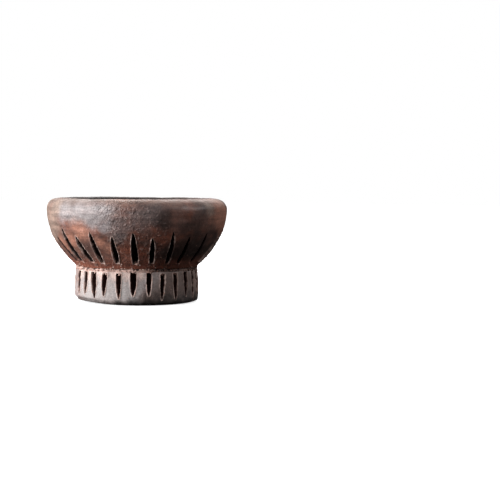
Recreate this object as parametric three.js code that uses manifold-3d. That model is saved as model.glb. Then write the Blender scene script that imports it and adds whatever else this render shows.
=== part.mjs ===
// Clay diya oil lamp: a thick-walled bowl luted onto a hollow foot ring, with a cotton wick standing in the bowl.
// Millimetres, +Z up. The origin is the centre of the face that the lamp stands on.
import * as THREE from "three";
import { mergeVertices } from "three/addons/utils/BufferGeometryUtils.js";
import { ConvexGeometry } from "three/addons/geometries/ConvexGeometry.js";
import Module from "manifold-3d";

const wasm = await Module();
wasm.setup();

// ---- driving dimensions ----

// Overall.
const RIM_HEIGHT = 57; // from the standing face to the top of the rim
const BELLY_RADIUS = 50; // outside, at the bowl's widest level
const FOOT_HEIGHT = 18.8; // from the standing face to the plane where foot ring and bowl are luted together
const FOOT_RADIUS = 34.3; // outside, at the foot ring's fullest

// Bowl.
const BELLY_DROP = 6; // from the top of the rim down to the widest level
const BELLY_REACH = 13.5; // how far down the wall keeps to the vertical under the belly
const FLARE_REACH = 8; // how far out the wall keeps to 45 degrees above the joint
const RIM_CREST_INSET = 8; // from the belly in to the top of the rounded rim
const MOUTH_LIP_INSET = 3.2; // from the top of the rim in to the edge of the mouth
const MOUTH_LIP_DROP = 3.4; // from the top of the rim down to the edge of the mouth
const BOWL_WALL = 8.5; // thickness at the level where the hollow is widest
const BOWL_FLOOR = 7; // thickness above the joint
const HOLLOW_DROP = 11; // from the top of the rim down to the widest level of the hollow

// Foot ring.
const FOOT_WALL = 8.6;
const FOOT_CORNER = 3.4; // rounding of the lower outer corner
const FOOT_INNER_CORNER = 1.6; // rounding of the lower inner corner
const NECK_INSET = 0.7; // from the fullest radius in to the neck at the joint

// Luting coil: a thin tongue between foot ring and bowl, with a bead along its outer edge.
const BEAD_RADIUS = 1.25;
const TONGUE_THICKNESS = 0.9;
const TONGUE_SETBACK = 1.6; // from the foot ring's inner face out to the tongue's inner edge
const JOINT_GAP = 0.3; // clear all round the luting coil

// Slashes round the bowl, long and short by turns.
const SLASH_COUNT = 26;
const LONG_SLASH = 19.5;
const SHORT_SLASH = 16.5;
const SLASH_WIDTH = 2.9;
const SLASH_DEPTH = 4.2;
const SLASH_RISE = 4.4; // from the joint up to the lower end of each slash

// Slots round the foot ring.
const SLOT_COUNT = 27;
const SLOT_LENGTH = 12;
const SLOT_WIDTH = 3.2;
const SLOT_DEPTH = 4.4;
const SLOT_DROP = 2; // from the joint down to the top of each slot

// Wick.
const WICK_HEIGHT = 23;
const WICK_BASE_RADIUS = 7.5;
const WICK_BASE_HEIGHT = 6.5;
const WICK_STEM_RADIUS = 1.7;
const WICK_TIP_RADIUS = 0.9;
const WICK_CLEARANCE = 0.3; // between the wick's base and the dished floor of the bowl

// Fineness of the round surfaces.
const CLAY_SEGMENTS = 60;
const SLOTTED_SEGMENTS = 2 * SLOT_COUNT;
const WICK_SEGMENTS = 20;

// ---- sizes that follow from them ----

const BELLY_HEIGHT = RIM_HEIGHT - BELLY_DROP;
const RIM_CREST_RADIUS = BELLY_RADIUS - RIM_CREST_INSET;
const HOLLOW_RADIUS = BELLY_RADIUS - BOWL_WALL;
const HOLLOW_HEIGHT = RIM_HEIGHT - HOLLOW_DROP;
const HOLLOW_FLOOR = FOOT_HEIGHT + BOWL_FLOOR;
const FOOT_INNER_RADIUS = FOOT_RADIUS - FOOT_WALL;
const NECK_RADIUS = FOOT_RADIUS - NECK_INSET;
const BEAD_CENTRE = NECK_RADIUS - BEAD_RADIUS;
const GROOVE_RADIUS = BEAD_RADIUS + JOINT_GAP;
const TONGUE_ROOM = TONGUE_THICKNESS / 2 + JOINT_GAP; // from the joint's plane to either clay face
const TONGUE_INNER_RADIUS = FOOT_INNER_RADIUS + TONGUE_SETBACK;

// ---- profiles, as points of radius and height ----

const at = (radius, height) => new THREE.Vector2(radius, height);
const toRadians = THREE.MathUtils.degToRad;
const toDegrees = THREE.MathUtils.radToDeg;

// Points along an upright ellipse, with angles in degrees from the outward direction.
function arc(centre, radiusAcross, radiusUp, from, to, steps) {
  const points = [];
  for (let i = 0; i <= steps; i++) {
    const angle = toRadians(from + ((to - from) * i) / steps);
    points.push(at(centre.x + radiusAcross * Math.cos(angle), centre.y + radiusUp * Math.sin(angle)));
  }
  return points;
}

// The bead lies in a groove that is shared by the foot ring and the bowl.
const beadCentre = at(BEAD_CENTRE, FOOT_HEIGHT);
const grooveInnerAngle = toDegrees(Math.asin(TONGUE_ROOM / GROOVE_RADIUS)); // where it meets the tongue's slit
const grooveOuterAngle = toDegrees(Math.acos(BEAD_RADIUS / GROOVE_RADIUS)); // where it breaks out at the neck
const grooveRise = GROOVE_RADIUS * Math.sin(toRadians(grooveOuterAngle));

// The bowl's outside, from the groove up to the belly.
const outerWall = new THREE.CubicBezierCurve(
  at(NECK_RADIUS, FOOT_HEIGHT + grooveRise),
  at(NECK_RADIUS + FLARE_REACH, FOOT_HEIGHT + grooveRise + FLARE_REACH),
  at(BELLY_RADIUS, BELLY_HEIGHT - BELLY_REACH),
  at(BELLY_RADIUS, BELLY_HEIGHT),
);

function bowlProfile() {
  const shoulder = at(RIM_CREST_RADIUS, BELLY_HEIGHT);
  const lip = at(RIM_CREST_RADIUS, RIM_HEIGHT - MOUTH_LIP_DROP);
  const hollow = at(0, HOLLOW_HEIGHT);
  return [
    at(0, FOOT_HEIGHT + TONGUE_ROOM),
    ...arc(beadCentre, GROOVE_RADIUS, GROOVE_RADIUS, 180 - grooveInnerAngle, grooveOuterAngle, 3),
    ...outerWall.getPoints(9).slice(1),
    ...arc(shoulder, RIM_CREST_INSET, BELLY_DROP, 0, 90, 5).slice(1),
    ...arc(lip, MOUTH_LIP_INSET, MOUTH_LIP_DROP, 90, 180, 3).slice(1),
    ...arc(hollow, HOLLOW_RADIUS, HOLLOW_HEIGHT - HOLLOW_FLOOR, 0, -90, 8),
  ];
}

function footProfile() {
  const outerCorner = at(FOOT_RADIUS - FOOT_CORNER, FOOT_CORNER);
  const innerCorner = at(FOOT_INNER_RADIUS + FOOT_INNER_CORNER, FOOT_INNER_CORNER);
  const innerTop = at(FOOT_INNER_RADIUS, FOOT_HEIGHT - TONGUE_ROOM);
  const neck = at(NECK_RADIUS, FOOT_HEIGHT - grooveRise);
  const swell = at(FOOT_RADIUS, (FOOT_CORNER + neck.y) / 2);
  const outside = new THREE.QuadraticBezierCurve(at(FOOT_RADIUS, FOOT_CORNER), swell, neck);
  return [
    innerTop,
    ...arc(innerCorner, FOOT_INNER_CORNER, FOOT_INNER_CORNER, 180, 270, 2),
    ...arc(outerCorner, FOOT_CORNER, FOOT_CORNER, -90, 0, 4),
    ...outside.getPoints(3).slice(1),
    ...arc(beadCentre, GROOVE_RADIUS, GROOVE_RADIUS, -grooveOuterAngle, grooveInnerAngle - 180, 3).slice(1),
    innerTop,
  ];
}

function lutingProfile() {
  const half = TONGUE_THICKNESS / 2;
  const root = 180 - toDegrees(Math.asin(half / BEAD_RADIUS));
  return [
    at(TONGUE_INNER_RADIUS, FOOT_HEIGHT - half),
    ...arc(beadCentre, BEAD_RADIUS, BEAD_RADIUS, -root, root, 6),
    at(TONGUE_INNER_RADIUS, FOOT_HEIGHT + half),
    at(TONGUE_INNER_RADIUS, FOOT_HEIGHT - half),
  ];
}

// The height of the bowl's dished inside surface at a given radius.
function hollowSurface(radius) {
  const depth = HOLLOW_HEIGHT - HOLLOW_FLOOR;
  return HOLLOW_HEIGHT - depth * Math.sqrt(1 - (radius / HOLLOW_RADIUS) ** 2);
}

// Heights are above the wick's own base.
function wickProfile() {
  const flatRadius = WICK_BASE_RADIUS * 0.7;
  const puff = at(flatRadius, WICK_BASE_HEIGHT * 0.4);
  return [
    at(0, 0),
    ...arc(puff, WICK_BASE_RADIUS - flatRadius, puff.y, -90, 60, 4),
    at((WICK_BASE_RADIUS + WICK_STEM_RADIUS) / 3, WICK_BASE_HEIGHT),
    at(WICK_STEM_RADIUS, WICK_BASE_HEIGHT + WICK_STEM_RADIUS),
    at(WICK_TIP_RADIUS, WICK_HEIGHT - WICK_TIP_RADIUS),
    at(0, WICK_HEIGHT),
  ];
}

// ---- solids ----

// A closed surface of revolution about the Z axis.
function turned(profile, segments) {
  return new THREE.LatheGeometry(profile, segments).rotateX(Math.PI / 2);
}

function toSolid(geometry) {
  const bare = geometry.clone();
  bare.deleteAttribute("normal");
  bare.deleteAttribute("uv");
  const merged = mergeVertices(bare);
  return new wasm.Manifold(
    new wasm.Mesh({
      numProp: 3,
      vertProperties: merged.attributes.position.array,
      triVerts: new Uint32Array(merged.index.array),
    }),
  );
}

function toGeometry(solid) {
  const mesh = solid.getMesh();
  const geometry = new THREE.BufferGeometry();
  geometry.setAttribute("position", new THREE.BufferAttribute(mesh.vertProperties, 3));
  geometry.setIndex(new THREE.BufferAttribute(mesh.triVerts, 1));
  geometry.computeVertexNormals();
  return geometry;
}

// Takes blades out of a body at even steps round the Z axis, using the given blades by turns.
function cutAround(body, count, blades) {
  let cut = body;
  for (let i = 0; i < count; i++) {
    const blade = blades[i % blades.length].clone();
    cut = cut.subtract(toSolid(blade.rotateZ((i * 2 * Math.PI) / count)));
  }
  return cut;
}

// The first point of the outer wall for which a test holds, where it holds from there on.
function wallPoint(test) {
  let before = 0;
  let after = 1;
  for (let i = 0; i < 40; i++) {
    const middle = (before + after) / 2;
    if (test(outerWall.getPoint(middle))) {
      after = middle;
    } else {
      before = middle;
    }
  }
  return outerWall.getPoint(after);
}

// A knife slash that faces -Y: blunt and deep at its lower end, running out to a point at its upper end.
// It lies on the chord between its two ends on the bowl's outer wall.
function slashBlade(length) {
  const start = wallPoint((p) => p.y >= FOOT_HEIGHT + SLASH_RISE);
  const end = wallPoint((p) => p.y >= start.y && p.distanceTo(start) >= length);
  const along = end.clone().sub(start).normalize();
  const corner = (across, distance, depth) =>
    new THREE.Vector3(
      across,
      -(start.x + along.x * distance - along.y * depth),
      start.y + along.y * distance + along.x * depth,
    );
  const half = SLASH_WIDTH / 2;
  const corners = [corner(0, length, -SLASH_DEPTH), corner(0, length, 0)];
  for (const side of [-half, half]) {
    corners.push(corner(side * 0.9, 0, -SLASH_DEPTH));
    corners.push(corner(side * 1.2, length * 0.4, -SLASH_DEPTH));
    corners.push(corner(side * 0.6, 0, SLASH_DEPTH));
    corners.push(corner(side * 0.6, length * 0.4, SLASH_DEPTH * 0.8));
  }
  return new ConvexGeometry(corners);
}

// A wedge slot in the foot ring that faces -Y: a flat top edge under the joint, running down to a point.
function slotBlade() {
  const top = FOOT_HEIGHT - SLOT_DROP;
  const outer = -(FOOT_RADIUS + 1);
  const inner = -(FOOT_RADIUS - SLOT_DEPTH);
  const corner = (across, depth, drop) => new THREE.Vector3(across, depth, top - drop);
  const half = SLOT_WIDTH / 2;
  const corners = [corner(0, outer, SLOT_LENGTH), corner(0, inner, SLOT_LENGTH * 0.8)];
  for (const side of [-half, half]) {
    corners.push(corner(side, outer, 0));
    corners.push(corner(side * 0.9, outer, SLOT_LENGTH * 0.5));
    corners.push(corner(side * 0.8, inner, 0));
    corners.push(corner(side * 0.6, inner, SLOT_LENGTH * 0.4));
  }
  return new ConvexGeometry(corners);
}

// ---- the sub-parts ----

function subPart(name, geometry, color, roughness) {
  const mesh = new THREE.Mesh(geometry, new THREE.MeshStandardMaterial({ color, roughness, metalness: 0 }));
  mesh.name = name;
  return mesh;
}

function bowl() {
  const blank = toSolid(turned(bowlProfile(), CLAY_SEGMENTS));
  const slashed = cutAround(blank, SLASH_COUNT, [slashBlade(LONG_SLASH), slashBlade(SHORT_SLASH)]);
  return subPart("bowl", toGeometry(slashed), 0x6e4536, 0.5);
}

function footRing() {
  const blank = toSolid(turned(footProfile(), SLOTTED_SEGMENTS));
  const slotted = cutAround(blank, SLOT_COUNT, [slotBlade()]);
  return subPart("foot_ring", toGeometry(slotted), 0x7b6a65, 0.65);
}

function lutingCoil() {
  return subPart("luting_coil", turned(lutingProfile(), CLAY_SEGMENTS), 0xa9806f, 0.9);
}

function wick() {
  const mesh = subPart("wick", turned(wickProfile(), WICK_SEGMENTS), 0xf0e9d9, 0.95);
  mesh.position.z = hollowSurface(WICK_BASE_RADIUS) + WICK_CLEARANCE;
  return mesh;
}

const lamp = new THREE.Group();
lamp.name = "diya_oil_lamp";
lamp.add(bowl(), footRing(), lutingCoil(), wick());

export default lamp;
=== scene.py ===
"""How a smoke-fired clay oil lamp looks: a hand-made bowl and foot ring with knife cuts, and a wick.

Metres, +Z up, the lamp's front faces -Y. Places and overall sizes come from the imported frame.
Azimuths are in degrees from the front towards +X.
"""
import itertools
import math

import bmesh
import bpy
import numpy as np
from mathutils import Euler, Matrix, Vector


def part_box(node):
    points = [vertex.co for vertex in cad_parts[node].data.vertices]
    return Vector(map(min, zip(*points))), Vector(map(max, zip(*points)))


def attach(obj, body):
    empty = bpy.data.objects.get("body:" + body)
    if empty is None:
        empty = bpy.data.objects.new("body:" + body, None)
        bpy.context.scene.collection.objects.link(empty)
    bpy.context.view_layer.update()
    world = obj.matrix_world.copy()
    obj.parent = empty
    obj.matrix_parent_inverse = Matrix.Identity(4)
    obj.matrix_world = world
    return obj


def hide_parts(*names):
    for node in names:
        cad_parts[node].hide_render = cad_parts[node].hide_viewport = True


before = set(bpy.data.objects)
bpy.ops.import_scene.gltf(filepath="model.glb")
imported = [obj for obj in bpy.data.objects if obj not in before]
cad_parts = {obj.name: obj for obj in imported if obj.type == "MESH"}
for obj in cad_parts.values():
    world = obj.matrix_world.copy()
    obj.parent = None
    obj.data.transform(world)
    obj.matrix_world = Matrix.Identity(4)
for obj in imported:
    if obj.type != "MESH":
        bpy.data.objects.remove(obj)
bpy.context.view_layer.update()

MM = 0.001
LAMP_BODY = "lamp_body"
WICK_BODY = "wick"

# ---- sizes from the frame ----

bowl_low, bowl_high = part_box("bowl")
foot_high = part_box("foot_ring")[1]
coil_low, coil_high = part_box("luting_coil")
wick_low, wick_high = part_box("wick")

RIM_HEIGHT = bowl_high.z
BELLY_RADIUS = bowl_high.x
UNDERSIDE_HEIGHT = bowl_low.z
JOINT_HEIGHT = (coil_low.z + coil_high.z) / 2
NECK_RADIUS = coil_high.x
BEAD_RADIUS = (coil_high.z - coil_low.z) / 2
FOOT_RADIUS = foot_high.y
WICK_RADIUS = wick_high.y
WICK_BOTTOM = wick_low.z
WICK_TOP = wick_high.z

# ---- the bowl's and foot's own shape, as the frame's solids have it ----

BELLY_DROP = 6 * MM
BELLY_REACH = 13.5 * MM
FLARE_REACH = 8 * MM
RIM_CREST_INSET = 8 * MM
MOUTH_LIP_INSET = 3.2 * MM
MOUTH_LIP_DROP = 3.4 * MM
BOWL_WALL = 8.5 * MM
BOWL_FLOOR = 7 * MM
HOLLOW_DROP = 11 * MM
FOOT_WALL = 8.6 * MM
FOOT_CORNER = 3.4 * MM
FOOT_INNER_CORNER = 1.6 * MM
RIM_TILT = 0.002  # metres of rise to a metre towards +X

BELLY_HEIGHT = RIM_HEIGHT - BELLY_DROP
CREST_RADIUS = BELLY_RADIUS - RIM_CREST_INSET
FOOT_INNER_RADIUS = FOOT_RADIUS - FOOT_WALL
FOOT_TOP = JOINT_HEIGHT - 0.5 * MM

# ---- knife cuts, counted from the front one: negative to its left, positive to its right ----

SLASH_COUNT = 26
SLASH_START = 2.5  # the front slash's azimuth
SLASH_NUDGES = {  # degrees off an even spacing
    -6: 3.0, -5: 9.5, -4: 4.5, -3: 3.9, -2: 0.6, -1: 0.5,
    0: 1.4, 1: 0.8, 2: 0.4, 3: -2.8, 4: -1.3, 5: 1.0,
}
SLASH_LEANS = {  # degrees round the axis from foot to tip
    -6: -5.0, -5: -6.5, -4: -2.0, -3: -3.5, -2: -1.6, -1: -0.5,
    0: -1.5, 1: -2.2, 2: -2.3, 3: 0, 4: 0, 5: 6,
}
SLASH_WIDTHS = {  # times the usual width
    -5: 1.4, -4: 1.3, -3: 1.2, -2: 0.95, -1: 0.95,
    0: 0.95, 1: 0.8, 2: 0.75, 3: 0.7, 4: 0.75, 5: 1.3,
}
SLASH_BURRS = {-5: 0.3, -4: 0.6, 2: 0.7, 3: 0.25, 4: 0.25}  # times the usual height
SLASH_OUTLINE = ([0, 0.15, 0.45, 0.75, 0.92, 1], [0.7, 0.94, 1, 0.76, 0.4, 0.05])  # length, width
SLASH_BOTTOM = 4.2 * MM  # above the joint
LONG_SLASH = 21.0 * MM
SHORT_SLASH = 17.6 * MM
SLASH_WIDTH = 3.3 * MM
SLASH_DEPTH = 5.2 * MM

SLOT_COUNT = 27
SLOT_START = 2.0  # the front slot's azimuth
SLOT_NUDGES = {-5: 2.7, -4: 3.2, -3: 0.4, -2: -0.3, -1: -0.2, 1: 0.9, 2: 0.3, 5: -0.9, 6: -3.5}
SLOT_WIDTHS = {-5: 1.2, -4: 1.25, -3: 1.1, 2: 0.9, 4: 1.15, 5: 1.2, 6: 1.25}  # times the usual width
SLOT_OUTLINE = ([0, 0.4, 0.7, 0.9, 1], [1, 0.97, 0.74, 0.36, 0.06])
SLOT_TOP = 1.3 * MM  # below the joint
SLOT_LENGTH = 13.6 * MM
SLOT_WIDTH = 3.1 * MM
SLOT_DEPTH = 4.6 * MM

CUT_ZONE = 26 * MM  # the cuts end below this height above the joint
BURR_HEIGHT = 0.34 * MM
NUDGED_BY_NAME = 5  # cuts further round than this from the front one stray at random
CUT_REACH = 4.0  # degrees to either side of a cut's middle where no crumb clings
SLASH_COLUMNS = (3.9, 25, 5)  # degrees with close columns to either side, how many, how many beyond
SLOT_COLUMNS = (3.6, 21, 5)

# ---- the wick ----

WICK_STEM_RADIUS = 1.7 * MM
WICK_TIP_RADIUS = 0.9 * MM
PUFF_HEIGHT = 6.5 * MM
TWIST_PITCH = 9 * MM
STRAY_FIBRES = 90
FIBRE_RADIUS = 0.05 * MM

# ---- the slip's crumbs ----

JOINT_CRUMBS = 330
STREWN_CRUMBS = 220


# ---- numbers over arrays of points ----

def step_up(low, high, value):
    """0 below low, 1 above high, and a smooth rise between."""
    t = np.clip((value - low) / (high - low), 0, 1)
    return t * t * (3 - 2 * t)


def bump(centre, width, value):
    """A bell that is 1 at the centre and small beyond the width."""
    return np.exp(-(((value - centre) / width) ** 2))


def noise(points, size, seed):
    """Smooth noise between -1 and 1 at points (..., 3), with lumps of the given size."""
    table = np.random.default_rng(seed).uniform(-1, 1, (32, 32, 32))
    grid = points / size
    cell = np.floor(grid).astype(int)
    share = grid - cell
    share = share * share * (3 - 2 * share)
    total = np.zeros(points.shape[:-1])
    for corner in itertools.product((0, 1), repeat=3):
        x, y, z = np.moveaxis((cell + corner) % 32, -1, 0)
        total += np.where(corner, share, 1 - share).prod(axis=-1) * table[x, y, z]
    return total


def rough(points, size, seed, octaves=3):
    """Noise with finer and finer lumps added, each half as strong as the one before."""
    return sum(noise(points, size / 2 ** n, seed + n) / 2 ** n for n in range(octaves))


def round_axis(azimuth, radius, height):
    """Points round the Z axis. Azimuth 0 is the front, -Y, and it grows towards +X."""
    turn = np.radians(azimuth)
    x, y, z = np.broadcast_arrays(radius * np.sin(turn), -radius * np.cos(turn), height)
    return np.stack([x, y, z], axis=-1)


def ellipse(centre, across, up, start, end, count):
    """Points of radius and height along an upright ellipse, with angles in degrees from outwards."""
    angle = np.radians(np.linspace(start, end, count))
    return np.column_stack([centre[0] + across * np.cos(angle), centre[1] + up * np.sin(angle)])


def bezier(a, b, c, d, count):
    """Points along the cubic curve from a to d that is drawn towards b and c."""
    t = np.linspace(0, 1, count)[:, None]
    a, b, c, d = map(np.asarray, (a, b, c, d))
    return (1 - t) ** 3 * a + 3 * (1 - t) ** 2 * t * b + 3 * (1 - t) * t ** 2 * c + t ** 3 * d


def length_along(curve):
    """How far along the curve each of its points is."""
    return np.r_[0, np.cumsum(np.hypot(*np.diff(curve, axis=0).T))]


def spaced(curve, spacing):
    """The curve again with its points an even distance apart."""
    curve = np.asarray(curve)
    length = length_along(curve)
    wanted = np.linspace(0, length[-1], max(2, round(length[-1] / spacing) + 1))
    return np.column_stack([np.interp(wanted, length, curve[:, k]) for k in (0, 1)])


def joined(*curves):
    """Curves that follow one another, without the points that they share."""
    return np.vstack([curves[0]] + [c[1:] for c in curves[1:]])


def outward(profile, closed):
    """The unit normal at each point of a profile that has its solid on the left."""
    if closed:
        along = np.roll(profile, -1, axis=0) - np.roll(profile, 1, axis=0)
    else:
        along = np.gradient(profile, axis=0)
    along /= np.hypot(*along.T)[:, None]
    return np.column_stack([along[:, 1], -along[:, 0]])


def columns_through(centres, fine_reach, fine_count, coarse_count):
    """Columns round the axis, close together over each cut. centres is (rows, cuts), rising degrees.

    Returns the azimuths (rows, columns), their offsets from the nearest cut, and each column's cut.
    """
    after = np.roll(centres, -1, axis=1)
    after[:, -1] += 360
    before = np.roll(centres, 1, axis=1)
    before[:, 0] -= 360
    fine = np.linspace(-fine_reach, fine_reach, fine_count)
    shares = np.arange(1, coarse_count + 1) / coarse_count
    azimuths, offsets, cuts = [], [], []
    for k in range(centres.shape[1]):
        centre = centres[:, k, None]
        left = (before[:, k, None] - centre) / 2
        right = (after[:, k, None] - centre) / 2
        left_part = left + (-fine_reach - left) * shares[:-1]
        right_part = fine_reach + (right - fine_reach) * shares
        middle = np.broadcast_to(fine, (len(centres), fine_count))
        offset = np.hstack([left_part, middle, right_part])
        azimuths.append(centre + offset)
        offsets.append(offset)
        cuts.append(np.full(offset.shape[1], k))
    return np.hstack(azimuths), np.hstack(offsets), np.concatenate(cuts)


class Cuts:
    """A round of knife cuts: where each one stands and how far it leans from foot to top."""

    def __init__(self, seed, count, start, nudges, leans, stray):
        self.rng = np.random.default_rng(seed)
        self.index = np.arange(count) - count // 2
        pitch = 360 / count
        strays = self.rng.uniform(-stray, stray, count)
        nudge = np.where(np.abs(self.index) > NUDGED_BY_NAME, strays, 0)
        nudge += [nudges.get(k, 0) for k in self.index]
        lean = self.rng.uniform(-2.5, 2.5, count)
        self.azimuth = start + pitch * self.index + nudge
        self.lean = np.array([leans.get(k, lean[n]) for n, k in enumerate(self.index)])

    def spread(self, middle, share):
        """One value for each cut, within a share of the middle one."""
        return middle * self.rng.uniform(1 - share, 1 + share, len(self.index))

    def named(self, values):
        """Each cut's value where it is named, and 1 for the others."""
        return np.array([values.get(k, 1) for k in self.index])


# ---- meshes ----

def finish_mesh(name, points, faces, masks, uvs=None):
    """A smooth-shaded object from points and faces, with a float attribute for each mask."""
    mesh = bpy.data.meshes.new(name)
    mesh.from_pydata(points.tolist(), [], faces)
    for key, values in masks.items():
        attribute = mesh.attributes.new(key, "FLOAT", "POINT")
        attribute.data.foreach_set("value", np.asarray(values, np.float32).ravel())
    if uvs is not None:
        mesh.uv_layers.new(name="OFBake").data.foreach_set("uv", uvs.astype(np.float32).ravel())
    mesh.shade_smooth()
    obj = bpy.data.objects.new(name, mesh)
    bpy.context.scene.collection.objects.link(obj)
    return obj


def ring_grid(rows, columns, close_rows):
    """Quads of a grid that closes round the axis, and their map: U round it, V along the rows."""
    last = rows if close_rows else rows - 1
    row, column = np.meshgrid(np.arange(last), np.arange(columns), indexing="ij")
    steps = ((0, 0), (0, 1), (1, 1), (1, 0))
    faces = [((row + r) % rows * columns + (column + c) % columns).ravel() for r, c in steps]
    uvs = [np.stack([(column + c) / columns, (row + r) / last], axis=-1) for r, c in steps]
    uvs = [corner.reshape(-1, 2) for corner in uvs]
    return np.stack(faces, axis=1).tolist(), np.stack(uvs, axis=1).reshape(-1, 2)


def pole_fan(rows, columns, at_end):
    """Triangles that close a grid's first row (0) or last row (1) onto one more point, and their map."""
    around = np.arange(columns)
    there, here = around + 1 - at_end, around + at_end
    row = at_end * (rows - 1) * columns
    pole = np.full(columns, rows * columns + at_end)
    faces = np.stack([pole, row + there % columns, row + here % columns], axis=1).tolist()
    uvs = np.stack([(here + there) / 2, there, here], axis=1) / columns
    return faces, np.stack([uvs, np.full_like(uvs, at_end)], axis=-1).reshape(-1, 2)


def closed_surface(name, points, masks):
    """A mesh from a grid of points (rows, columns, 3) round the axis, closed at both ends on the axis."""
    rows, columns = points.shape[:2]
    ends = [points[row].mean(axis=0) * (0, 0, 1) for row in (0, -1)]
    fans = [pole_fan(rows, columns, at_end) for at_end in (0, 1)]
    part_faces, part_uvs = zip(ring_grid(rows, columns, close_rows=False), *fans)
    masks = {key: np.r_[values.ravel(), 0, 0] for key, values in masks.items()}
    points = np.vstack([points.reshape(-1, 3), ends])
    return finish_mesh(name, points, sum(part_faces, []), masks, np.vstack(part_uvs))


# ---- the bowl ----

def bowl_wall():
    """The bowl's outside from the neck to the belly: radius and height."""
    neck = (NECK_RADIUS, JOINT_HEIGHT + 0.9 * MM)
    flare = (neck[0] + FLARE_REACH, neck[1] + FLARE_REACH)
    under_belly = (BELLY_RADIUS, BELLY_HEIGHT - BELLY_REACH)
    return bezier(neck, flare, under_belly, (BELLY_RADIUS, BELLY_HEIGHT), 400)


def bowl_profile():
    """The bowl's section from the middle of its underside, up the outside and down into the hollow."""
    pole = 0.4 * MM
    wall = bowl_wall()
    underside = [(pole, UNDERSIDE_HEIGHT), (NECK_RADIUS - 1.6 * MM, UNDERSIDE_HEIGHT), wall[0]]
    low_count = np.searchsorted(wall[:, 1], JOINT_HEIGHT + CUT_ZONE)
    shoulder = ellipse((CREST_RADIUS, BELLY_HEIGHT), RIM_CREST_INSET, BELLY_DROP, 0, 90, 200)
    lip_centre = (CREST_RADIUS, RIM_HEIGHT - MOUTH_LIP_DROP)
    lip = ellipse(lip_centre, MOUTH_LIP_INSET, MOUTH_LIP_DROP, 90, 180, 100)
    hollow_height = RIM_HEIGHT - HOLLOW_DROP
    hollow_depth = hollow_height - (JOINT_HEIGHT + BOWL_FLOOR)
    hollow = ellipse((0, hollow_height), BELLY_RADIUS - BOWL_WALL, hollow_depth, 20, -90, 400)
    hollow = hollow[(hollow[:, 1] < lip[-1, 1] - 1 * MM) & (hollow[:, 0] > pole)]
    return joined(
        spaced(underside, 2.4 * MM),
        spaced(wall[:low_count], 0.34 * MM),
        spaced(wall[low_count - 1:], 0.5 * MM),
        spaced(shoulder, 0.5 * MM),
        spaced(lip, 0.5 * MM),
        spaced(np.vstack([lip[-1], hollow]), 1.0 * MM),
    )


def slash_relief(profile, offsets, cut_of, base, cuts, along):
    """How deep the slashes are, how much of that their tips keep, and how high their edges stand."""
    start = cuts.rng.uniform(-0.6, 0.4, len(cuts.index)) * MM
    length = cuts.length
    half = cuts.spread(SLASH_WIDTH / 2, 0.1) * cuts.named(SLASH_WIDTHS)
    across = np.radians(offsets) * profile[:, :1] + 0.16 * MM * noise(base, 4 * MM, 21)
    share = (along - start[cut_of]) / length[cut_of]
    half_here = half[cut_of] * np.interp(share, *SLASH_OUTLINE)
    half_here *= 1 + 0.08 * noise(base, 1.8 * MM, 22)
    ends = step_up(-0.012, 0.02, share) * (1 - step_up(0.97, 1.0, share))
    inside = np.clip(1 - np.abs(across) / half_here, 0, 1) ** 0.28 * ends
    shallow = 1 - 0.75 * step_up(0.72, 1.02, share)
    gap = np.maximum(np.abs(across) - half_here, np.maximum(-share, share - 1) * length[cut_of])
    ragged = 0.5 + 0.5 * step_up(-0.4, 0.4, noise(base, 1.3 * MM, 23) + 0.5 * noise(base, 6 * MM, 24))
    burr = bump(0.24 * MM, 0.36 * MM, gap) * ragged * (1 - step_up(0.02, 0.3, inside))
    burr *= step_up(-0.08, -0.02, share) * (1 - step_up(0.98, 1.04, share))
    return inside, shallow, burr * cuts.named(SLASH_BURRS)[cut_of]


def bowl_cuts():
    """The slashes round the bowl's lower half, long and short in turn."""
    cuts = Cuts(11, SLASH_COUNT, SLASH_START, SLASH_NUDGES, SLASH_LEANS, 1.5)
    cuts.length = np.where(cuts.index % 2 == 0, LONG_SLASH, SHORT_SLASH) * cuts.spread(1, 0.04)
    cuts.depth = cuts.spread(SLASH_DEPTH, 0.1)
    return cuts


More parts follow.
